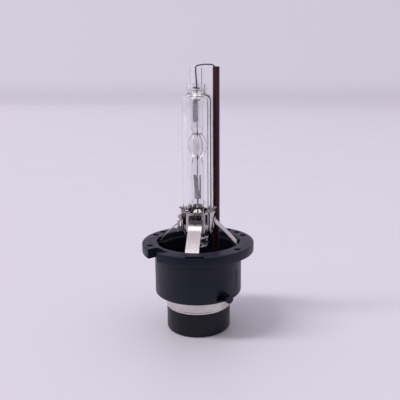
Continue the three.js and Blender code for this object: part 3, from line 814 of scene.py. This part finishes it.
def build_salt():
    """Droplets of condensed salt round the lower electrode and a thin film on one side of the cavity."""
    bm = bmesh.new()
    floor = ARC_Z - CAVITY[1] + 0.62
    ring = 0.42
    for _ in range(9):
        angle = random.uniform(0, 2 * math.pi)
        size = random.uniform(0.06, 0.12)
        place = shift(ring * math.cos(angle), ring * math.sin(angle), floor + random.uniform(-0.05, 0.15))
        flat = Matrix.Diagonal((size, size, size * 0.7, 1))
        bmesh.ops.create_icosphere(bm, subdivisions=2, radius=1, matrix=place @ flat)
    droplets = new_object("droplets", bm)

    off_wall = 0.05

    def film_point(across, along):
        azimuth = math.radians(-175 + 120 * across)
        up = -0.84 + 1.62 * along
        reach = (CAVITY[0] - off_wall) * math.sqrt(1 - up * up)
        height = ARC_Z + up * (CAVITY[1] - off_wall)
        return (reach * math.cos(azimuth), reach * math.sin(azimuth), height)

    film = sheet("film", 24, 16, film_point, 0.03)
    return smooth(merged("salt", [droplets, film]), 60)


stands_for(build_burner(), BURNER_QUARTZ, "burner_quartz", "quartz_burner")
top_electrode = build_electrode("electrode_top", UPPER_ELECTRODE, tip_up=False)
stands_for(top_electrode, TUNGSTEN, "tungsten", "upper_electrode")
bottom_electrode = build_electrode("electrode_bottom", LOWER_ELECTRODE, tip_up=True)
stands_for(bottom_electrode, TUNGSTEN, "tungsten", "lower_electrode")
top_foil = build_foil("foil_top", UPPER_FOIL, 1.1, -0.3, -22)
stands_for(top_foil, MOLYBDENUM, "molybdenum", "upper_foil")
bottom_foil = build_foil("foil_bottom", LOWER_FOIL, 1.55, 0.12, -22, split=0.62)
stands_for(bottom_foil, MOLYBDENUM, "molybdenum", "lower_foil")
stands_for(build_lead("lead_top", UPPER_LEAD, 0.12, 0.05), NICKEL, "nickel_wire", "upper_lead")
stands_for(build_lead("lead_bottom", HV_LEAD, 0.12, 0.08), NICKEL, "nickel_wire", "high_voltage_lead")
stands_for(build_weld_tab(), NICKEL, "nickel_wire", "weld_tab")
stands_for(build_salt(), SALT, "halide_salt", "halide_charge")


# Outer bulb.
def build_bulb():
    """A domed tube with a melted-on stub at each end; the burner passes through both."""
    throat = BURNER_RADIUS + 0.03
    radius = BULB_RADIUS
    inner = radius - 1.2
    dome_top, neck_top = 66.4, 68.3
    dome_low, neck_low = 29.3, 26.9
    # The radii where each dome meets its neck, outside and inside, and those of the stubs.
    upper_neck, lower_neck, inner_neck = 2.3, 2.4, 2.0
    upper_stub, lower_stub = 2.8, 2.9
    upper = arc((upper_neck, dome_top), (radius - upper_neck, neck_top - dome_top), 0, 90, 14)
    lower = arc((lower_neck, dome_low), (radius - lower_neck, dome_low - neck_low), -90, 0, 14)
    reach = inner - inner_neck
    upper_inner = arc((inner_neck, dome_top - 0.3), (reach, neck_top - dome_top - 0.6), 90, 0, 10)
    lower_inner = arc((inner_neck, dome_low + 0.3), (reach, dome_low - neck_low - 0.8), 0, -90, 10)
    profile = rounded([
        (throat, BULB_LOW.z, 0.1),
        (lower_stub, BULB_LOW.z, 0.35),
        (lower_stub, 26.15, 0.35),
        (2.35, 26.5, 0.25),
        *lower,
        *upper,
        (2.55, 68.75, 0.2),
        (2.2, 69.05, 0.12),
        (upper_stub, 69.2, 0.12),
        (upper_stub, BULB_HIGH.z, 0.15),
        (throat, BULB_HIGH.z, 0.1),
        (throat, 67.2, 0.15),
        *upper_inner,
        *lower_inner,
        (throat, 28.1, 0.15),
    ])
    return smooth(lathe("bulb", profile, around=128), 60)


stands_for(build_bulb(), BULB_QUARTZ, "bulb_quartz", "outer_bulb")


# Clamp collar.
COLLAR_TOP = COLLAR_LOW.z + 5.55
COLLAR_RADIUS = BULB_RADIUS + 0.33
# The middle of the thickness of what is cut and bent from the collar's band.
FINGER_RADIUS = COLLAR_RADIUS - 0.12
PLATE_LOW = COLLAR_LOW.z + 0.1
# Degrees between the pairs of fingers, and the pair in front, which alone grips the glass.
PAIR_STEP = 45
FRONT_PAIR = -79
# Degrees each side of the shield that are kept free of fingers.
SHIELD_GAP = 20
PAIR_AZIMUTHS = [
    azimuth for azimuth in range(FRONT_PAIR, FRONT_PAIR + 360, PAIR_STEP)
    if abs(azimuth - SHIELD_AZIMUTH) > SHIELD_GAP
]
WINDOW_HALF = 1.8
WINDOW_LOW = 33.0
WINDOW_HIGH = 34.45
# The band's upright slots beside the brackets: middle azimuth and width in degrees.
BAND_SLOTS = ((-134, 26), (-49.5, 13), (38.5, 8), (128.5, 8))
SLOT_LOW = 31.4
SLOT_HIGH = 34.55
EYELET_AZIMUTH = 73
EAR_AZIMUTH = -135


def window_tool(depth):
    """A rounded window, standing at azimuth 0 and cutting outwards from that depth."""
    outline = rounded([
        (-WINDOW_HALF, WINDOW_LOW, 0.1),
        (WINDOW_HALF, WINDOW_LOW, 0.1),
        (WINDOW_HALF, WINDOW_HIGH, 0.45),
        (-WINDOW_HALF, WINDOW_HIGH, 0.45),
    ], steps=6)
    return placed(prism("window", outline, 4), UPRIGHT, turn(90), shift(depth))


def spread_finger(up):
    """(radius, height above the band) of an outward-flared finger."""
    bend_radius = 0.8
    bend = math.radians(60)
    angle = min(max(up, 0) / bend_radius, bend)
    rest = max(0.0, up - bend_radius * bend)
    r = bend_radius * (1 - math.cos(angle)) + rest * math.sin(bend)
    return r, min(up, 0) + bend_radius * math.sin(angle) + rest * math.cos(bend)


def gripping_finger(up):
    """(radius, height above the band) of a finger that flares out at its root and leans in to the glass."""
    out = math.radians(45)
    lean = math.radians(25)
    knee = 0.45
    if up < 0:
        return 0.0, up
    first = min(up, knee)
    rest = max(0.0, up - knee)
    r = first * math.sin(out) - rest * math.sin(lean)
    return r, first * math.cos(out) + rest * math.cos(lean)


# A finger's shape, length and width, and the slit between it and its twin.
GRIPPING_PAIR = (gripping_finger, 1.45, 1.0, 0.4)
SPREAD_PAIR = (spread_finger, 1.34, 1.3, 0.26)


def build_finger(side, azimuth, shape, length, width, slit):
    """One finger of a pair, straight beside the slit and rounded on its far side."""
    root = 0.5
    thickness = 0.16
    shoulder = length - width

    def point(across, along):
        up = -root + along * (length + root)
        reach = width
        if up > shoulder:
            reach *= math.sqrt(max(0.004, 1 - ((up - shoulder) / width) ** 2))
        angle = side * (slit / 2 + across * reach) / FINGER_RADIUS
        r, z = shape(up)
        r += FINGER_RADIUS
        return (r * math.cos(angle), r * math.sin(angle), COLLAR_TOP + z)

    return placed(sheet("finger", 24, 8, point, thickness), turn(azimuth))


def build_band():
    """The band round the glass, cut by the front window and the upright slots."""
    inner = BULB_RADIUS + 0.08
    low = PLATE_LOW + 0.3
    profile = rounded([
        (inner, low, 0.05),
        (COLLAR_RADIUS, low, 0.05),
        (COLLAR_RADIUS, COLLAR_TOP + 0.05, 0.08),
        (inner, COLLAR_TOP + 0.05, 0.05),
    ])
    band = lathe("band", profile, around=144)
    tools = [placed(window_tool(3), turn(LEG_AZIMUTHS["front"]))]
    for azimuth, width in BAND_SLOTS:
        half = math.radians(width / 2) * COLLAR_RADIUS
        slot = block("slot", (3, -half, SLOT_LOW), (7, half, SLOT_HIGH), corner=0.1)
        tools.append(placed(slot, turn(azimuth)))
    return combined(band, tools, "DIFFERENCE")


def build_eyelet():
    """A slim stalk with an eyelet at its tip."""
    ring = 0.28
    centre = COLLAR_HIGH.z - COLLAR_TOP - 0.42
    lean = math.tan(math.radians(12))
    path = [(0, -0.4), (0, centre - 0.3)] + arc((0, centre), ring, -90, 250, 20)
    points = []
    for sideways, up in path:
        r = FINGER_RADIUS + max(0.0, up) * lean
        points.append(turn(EYELET_AZIMUTH) @ Vector((r, sideways, COLLAR_TOP + up)))
    return wire("eyelet", points, 0.12, sides=3)


def build_seam_ear():
    """The band's ends folded out and crimped: a lobe, a waist, two strands and an arched cap on a stem."""
    root = BULB_RADIUS + 0.2
    thickness = 0.4
    lobe = (6.15, 34.1)
    outline = rounded([
        (root, 33.2),
        (5.4, 33.1, 0.1),
        (6.3, 32.6, 0.15),
        (6.3, 31.3, 0.15),
        (5.4, 30.9, 0.1),
        (5.5, 30.5, 0.1),
        (6.4, 30.7, 0.1),
        (6.4, 29.55, 0.15),
        (6.9, 29.55, 0.15),
        (6.9, 30.7, 0.1),
        (7.3, 30.5, 0.1),
        (7.3, 30.9, 0.1),
        (6.95, 31.4, 0.2),
        (6.9, 32.8, 0.2),
        (6.0, 33.2, 0.1),
        *arc(lobe, 0.58, -90, 90, 12),
        (root, 34.95),
    ], steps=5)
    ear = placed(prism("ear", outline, thickness), UPRIGHT, shift(y=thickness / 2), turn(EAR_AZIMUTH))
    eye = lathe("eye", [(0, -1), (0.2, -1), (0.2, 1), (0, 1)], around=20)
    placed(eye, UPRIGHT, shift(lobe[0] + 0.05, 0, lobe[1]), turn(EAR_AZIMUTH))
    combined(ear, [eye], "DIFFERENCE")
    return softened(ear, 0.08, segments=3)


def build_collar():
    """The band with its ear, its eyelet and the crown of fingers."""
    pieces = [build_band(), build_seam_ear(), build_eyelet()]
    for azimuth in PAIR_AZIMUTHS:
        kind = GRIPPING_PAIR if azimuth == FRONT_PAIR else SPREAD_PAIR
        pieces += [build_finger(side, azimuth, *kind) for side in (1, -1)]
    return smooth(merged("collar", pieces), 40)


stands_for(build_collar(), SPRING_STEEL, "spring_steel", "clamp_collar")


# Leg brackets.
PLATE_THICKNESS = 0.3
PLATE_RADIUS = COLLAR_RADIUS + 0.07 + PLATE_THICKNESS / 2
PLATE_HIGH = BRACKET_HIGH.z
OPENING_HALF = 1.98
OPENING_TOP = 34.55
LEG_THICKNESS = 0.22
LEG_HALF_WIDTH = 1.9
LEG_RADIUS = COLLAR_RADIUS + 0.07 + LEG_THICKNESS / 2
LEG_TOP = OPENING_TOP + 0.15
LEG_SEAM = 32.3
# The leg is rolled to the collar's curve at its top, and is flat below this height.
LEG_FLAT = 33.2
# Degrees from upright: at the end of the upper bend, and at the foot after the leg's slight bow.
LEG_BEND = 48
LEG_FOOT_BEND = 41
LEG_TOE_R = 11.5
LEG_TOE_RADIUS = 1.0
LEG_FOOT = BRACKET_LOW.z
# The plate's half-angle in degrees, and the height and radius of the leg's upper bend.
SLOW_BRACKET = (32.5, 33.4, 4.6)
SHARP_BRACKET = (39, 33.0, 2.4)
BRACKETS = {"front": SLOW_BRACKET, "right": SHARP_BRACKET, "back": SLOW_BRACKET, "left": SHARP_BRACKET}


def leg_path(start, bend_radius):
    """(radius, height) points down the leg, walked in small steps along its bends."""
    r, z = LEG_RADIUS, LEG_TOP
    points = [(r, z)]
    step = 0.2

    def walk(angle, length):
        nonlocal r, z
        r += math.sin(angle) * length
        z -= math.cos(angle) * length
        points.append((r, z))

    while z > start:
        walk(0, min(step, max(0.02, z - start)))
    angle = 0.0
    while angle < math.radians(LEG_BEND):
        angle += step / bend_radius
        walk(angle, step)
    slope_start = r
    slope_end = LEG_TOE_R - LEG_TOE_RADIUS * (1 - math.cos(math.radians(LEG_FOOT_BEND)))
    while r < slope_end:
        part = min(1.0, (r - slope_start) / (slope_end - slope_start))
        angle = math.radians(LEG_BEND + (LEG_FOOT_BEND - LEG_BEND) * part)
        walk(angle, step)
    while angle > 0:
        angle = max(0.0, angle - step / LEG_TOE_RADIUS)
        walk(angle, step)
    while z > LEG_FOOT:
        walk(0, 2 * step)
    return points


def build_leg(bend_start, bend_radius):
    """The strip from the plate's opening down to the housing."""
    path = leg_path(bend_start, bend_radius)
    rows = len(path) - 1

    def point(across, along):
        r, z = path[round(along * rows)]
        sideways = (across - 0.5) * 2 * LEG_HALF_WIDTH
        curl = min(1.0, max(0.0, z - LEG_FLAT))
        dip = LEG_RADIUS - math.sqrt(LEG_RADIUS ** 2 - sideways ** 2)
        return (r - dip * curl, sideways, z)

    return sheet("leg", rows, 16, point, LEG_THICKNESS)


def build_plate(half_angle):
    """The curved plate on the collar, with the opening that the leg comes out of."""

    def point(across, along):
        angle = math.radians((across - 0.5) * 2 * half_angle)
        height = PLATE_LOW + along * (PLATE_HIGH - PLATE_LOW)
        return (PLATE_RADIUS * math.cos(angle), PLATE_RADIUS * math.sin(angle), height)

    plate = sheet("plate", 8, 48, point, PLATE_THICKNESS)
    opening = rounded([
        (-OPENING_HALF, PLATE_LOW - 1),
        (OPENING_HALF, PLATE_LOW - 1),
        (OPENING_HALF, OPENING_TOP, 0.45),
        (-OPENING_HALF, OPENING_TOP, 0.45),
    ])
    tool = placed(prism("opening", opening, 4), UPRIGHT, turn(90), shift(3))
    return combined(plate, [tool], "DIFFERENCE")


def seam_tools():
    """The window in the leg's root, the pressed crease across it and the small vee in its middle."""
    outer = LEG_RADIUS + LEG_THICKNESS / 2
    half_crease = 0.07
    low = (outer - 0.12, -3, LEG_SEAM - half_crease)
    high = (outer + 1, 3, LEG_SEAM + half_crease)
    crease = block("crease", low, high)
    outline = [(-0.42, LEG_SEAM + 0.12, 0.05), (0.42, LEG_SEAM + 0.12, 0.05), (0, LEG_SEAM - 0.62, 0.08)]
    vee = placed(prism("vee", rounded(outline), 1), UPRIGHT, turn(90), shift(outer - 0.1))
    return [window_tool(3), crease, vee]


def build_bracket(side, azimuth):
    """A plate and its leg, joined into one piece."""
    half_angle, bend_start, bend_radius = BRACKETS[side]
    leg = combined(build_leg(bend_start, bend_radius), seam_tools(), "DIFFERENCE")
    bracket = combined(build_plate(half_angle), [leg], "UNION")
    softened(bracket, 0.05, segments=2, angle=45)
    bracket.name = "bracket_" + side
    placed(bracket, turn(azimuth))
    return smooth(bracket, 40)


for side, azimuth in LEG_AZIMUTHS.items():
    stands_for(build_bracket(side, azimuth), SPRING_STEEL, "spring_steel", "leg_bracket_" + side)


# Studio.
# The studio is drawn in the camera's own directions: X to the right, Y away from the camera.
VIEW_TURN = 8.4
CAMERA_PLACE = (6.675, -138.98, 67.61)
CAMERA_PITCH = 10.49
WALL_DISTANCE = 3600
TABLE_COLOUR = (0.74, 0.70, 0.785)
WALL_COLOUR = (0.30, 0.285, 0.32)
WALL_GLOW = (0.448, 0.421, 0.485)


def plane(name, corners):
    """A flat backdrop, turned to face the camera."""
    bm = bmesh.new()
    bm.faces.new([bm.verts.new(c) for c in corners])
    return placed(new_object(name, bm), turn(VIEW_TURN))


def table_material():
    """A pale sweep with a wedge of painted shade in front of the object, widening under and behind the
    camera.
    """
    m = Material("pale_table", Roughness=0.42, IOR=1.4)
    place = m.add("Mapping")
    place.inputs["Rotation"].default_value = (0, 0, math.radians(-VIEW_TURN))
    m.links.new(m.add("TexCoord").outputs["Object"], place.inputs["Vector"])
    split = m.add("SeparateXYZ")
    m.links.new(place.outputs["Vector"], split.inputs["Vector"])
    beyond = m.scaled(split.outputs["Y"], 0, 1, -0.115, -0.045)
    slope = m.add("Math", operation="DIVIDE")
    m.links.new(split.outputs["X"], slope.inputs[0])
    m.links.new(split.outputs["Y"], slope.inputs[1])
    sideways = m.add("Math", operation="ABSOLUTE")
    m.links.new(slope.outputs["Value"], sideways.inputs[0])
    beside = m.scaled(sideways.outputs["Value"], 0, 0.8, 0.35, 1.1)
    lit = m.add("Math", operation="MAXIMUM")
    m.links.new(beyond, lit.inputs[0])
    m.links.new(beside, lit.inputs[1])
    # Painted shade: inside the wedge the table's colour falls to 3 percent.
    m.mixed(lit.outputs["Value"], [c * 0.03 for c in TABLE_COLOUR], TABLE_COLOUR)
    m.bump(m.noise(0.7, detail=3), 0.05, 0.02)
    m.drive(m.scaled(m.noise(40, detail=3), 0.36, 0.48), "Roughness")
    return m.material


def set_stops(ramp, stops, tint=(1, 1, 1)):
    """Sets a colour ramp's stops from (position, level) pairs in one tint."""
    elements = ramp.color_ramp.elements
    while len(elements) < len(stops):
        elements.new(0.5)
    for element, (position, level) in zip(elements, stops):
        element.position = position
        element.color = (*[level * c for c in tint], 1)


def wall_material():
    """A softly lit pale wall with a band of painted shade where it meets the table."""
    m = Material("pale_wall", Roughness=0.8, Emission_Color=(*WALL_GLOW, 1), Emission_Strength=1.0)
    height = m.add("SeparateXYZ")
    m.links.new(m.add("TexCoord").outputs["Object"], height.inputs["Vector"])
    up = m.scaled(height.outputs["Z"], 0, 1, 0.0, 0.3)
    ramp = m.add("ValToRGB")
    m.links.new(up, ramp.inputs["Fac"])
    # Painted shade: the wall's colour and glow dip in a low band just above the table.
    set_stops(ramp, [(0.0, 0.97), (0.12, 0.92), (0.22, 0.90), (0.34, 0.94), (0.6, 1.0)])
    for socket, colour in (("Base Color", WALL_COLOUR), ("Emission Color", WALL_GLOW)):
        tint = m.add("Mix", data_type="RGBA", blend_type="MULTIPLY")
        tint.inputs[0].default_value = 1.0
        colours = [c for c in tint.inputs if c.type == "RGBA"]
        m.links.new(ramp.outputs["Color"], colours[0])
        colours[1].default_value = (*colour, 1)
        m.links.new([o for o in tint.outputs if o.type == "RGBA"][0], m.shader.inputs[socket])
    m.bump(m.noise(6, detail=3), 0.1, 0.3)
    return m.material


def build_stage():
    """The table and the wall behind it."""
    width, front, height = 6000, -3000, 3000
    back = WALL_DISTANCE + CAMERA_PLACE[1]
    near = [(-width, front, 0), (width, front, 0)]
    far = [(width, back, 0), (-width, back, 0)]
    top = [(-width, back, height), (width, back, height)]
    table = plane("table", near + far)
    table.data.materials.append(table_material())
    wall = plane("wall", far[::-1] + top[::-1])
    wall.data.materials.append(wall_material())


def area_light(name, place, size, watts):
    """A rectangular light at that place in metres."""
    light = bpy.data.lights.new(name, "AREA")
    light.shape = "RECTANGLE"
    light.size, light.size_y = size
    light.energy = watts
    lamp = bpy.data.objects.new(name, light)
    bpy.context.scene.collection.objects.link(lamp)
    lamp.location = turn(VIEW_TURN) @ Vector(place)
    return lamp


def build_lights():
    """A level panel high on the left for the shadows, and a softbox in front for the sheen on metal."""
    key = area_light("key", (-6.4, -1.92, 8.0), (8.2, 1.28), 600)
    key.rotation_euler = (0, 0, math.radians(VIEW_TURN))
    key.visible_glossy = False
    sheen = area_light("sheen", (-0.174, -0.752, 0.919), (1.1, 0.5), 4.0)
    sheen.rotation_euler = (-sheen.location).to_track_quat("-Z", "Y").to_euler()
    sheen.visible_diffuse = False


def build_world():
    """Pale all round, brighter high up and dark behind the camera."""
    world = bpy.data.worlds.new("studio")
    bpy.context.scene.world = world
    world.use_nodes = True
    nodes = world.node_tree.nodes
    links = world.node_tree.links
    background = nodes["Background"]
    mapping = nodes.new("ShaderNodeMapping")
    mapping.inputs["Rotation"].default_value = (0, 0, math.radians(-VIEW_TURN))
    links.new(nodes.new("ShaderNodeTexCoord").outputs["Generated"], mapping.inputs["Vector"])
    split = nodes.new("ShaderNodeSeparateXYZ")
    links.new(mapping.outputs["Vector"], split.inputs["Vector"])
    overhead = nodes.new("ShaderNodeValToRGB")
    links.new(split.outputs["Z"], overhead.inputs["Fac"])
    levels = [(0.0, 0.605), (0.35, 0.525), (0.75, 0.67), (0.93, 0.93), (1.0, 0.75)]
    set_stops(overhead, levels, tint=(0.965, 0.935, 1.0))
    # From straight behind the camera round to its sides: dark, then the open studio.
    away = nodes.new("ShaderNodeMapRange")
    away.inputs["From Min"].default_value = -1.0
    away.inputs["From Max"].default_value = -0.15
    links.new(split.outputs["Y"], away.inputs["Value"])
    towards = nodes.new("ShaderNodeValToRGB")
    links.new(away.outputs["Result"], towards.inputs["Fac"])
    set_stops(towards, [(0.0, 0.08), (0.3, 0.36), (0.58, 0.92), (0.75, 0.98), (1.0, 1.0)])
    links.new(overhead.outputs["Color"], background.inputs["Color"])
    links.new(towards.outputs["Color"], background.inputs["Strength"])


def build_camera():
    """A long lens a little above the object, shifted to frame it."""
    camera = bpy.data.cameras.new("camera")
    camera.sensor_width = 36
    camera.lens = 44.38
    camera.shift_x = -0.0524
    camera.shift_y = -0.0332
    camera.clip_start = 0.01
    holder = bpy.data.objects.new("camera", camera)
    bpy.context.scene.collection.objects.link(holder)
    holder.location = turn(VIEW_TURN) @ (Vector(CAMERA_PLACE) * MM)
    holder.rotation_euler = (math.radians(90 - CAMERA_PITCH), 0, math.radians(VIEW_TURN))
    bpy.context.scene.camera = holder


build_stage()
build_world()
build_lights()
build_camera()
bpy.context.scene.view_settings.view_transform = "Standard"
